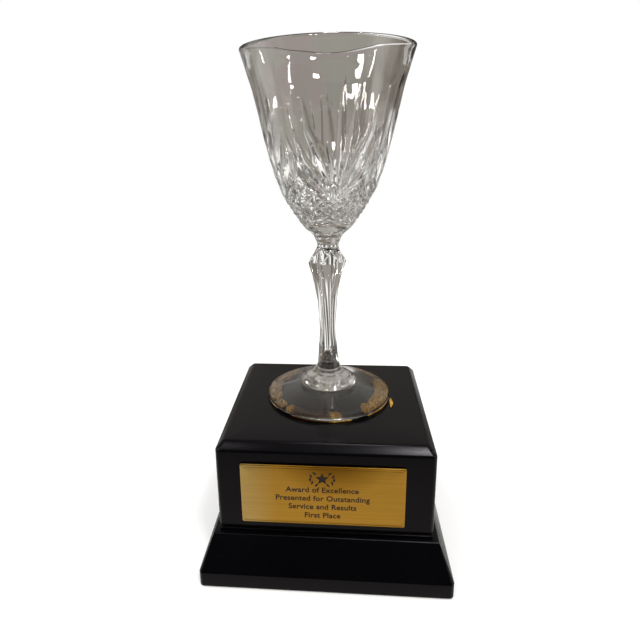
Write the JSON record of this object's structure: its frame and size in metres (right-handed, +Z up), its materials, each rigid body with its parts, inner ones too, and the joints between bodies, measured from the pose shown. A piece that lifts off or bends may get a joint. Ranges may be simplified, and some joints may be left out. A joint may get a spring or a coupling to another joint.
{
  "type": "crystal goblet award",
  "caption": "Cut-crystal goblet with fan cuts and a faceted stem, cemented on a stepped black lacquered wooden plinth with a brass name plate on its front.",
  "frame": {"origin": "bottom centre of the plinth, on the surface it stands on", "axes": "+Z up; the name plate faces -Y; +X to the right as seen from the front"},
  "size_m": [0.13, 0.1226, 0.2672],
  "materials": {
    "crystal": "clear fire-polished crystal with polished cuts",
    "cement": "cured amber cement",
    "lacquered_wood": "satin black lacquer",
    "felt": "pressed felt",
    "brass": "horizontally brushed, lacquered",
    "tape": "matt foam",
    "screw_steel": "zinc plated"
  },
  "bodies": {
    "root": {"goblet_bowl": "crystal", "goblet_stem": "crystal", "goblet_foot": "crystal", "cement_ring": "cement", "cement_drip": "cement", "plinth_block": "lacquered_wood", "neck_board": "lacquered_wood", "plinth_base": "lacquered_wood", "base_felt": "felt", "name_plate": "brass", "plate_tape": "tape", "base_screw_1": "screw_steel", "base_screw_2": "screw_steel", "base_screw_3": "screw_steel", "base_screw_4": "screw_steel"}
  },
  "joints": []
}
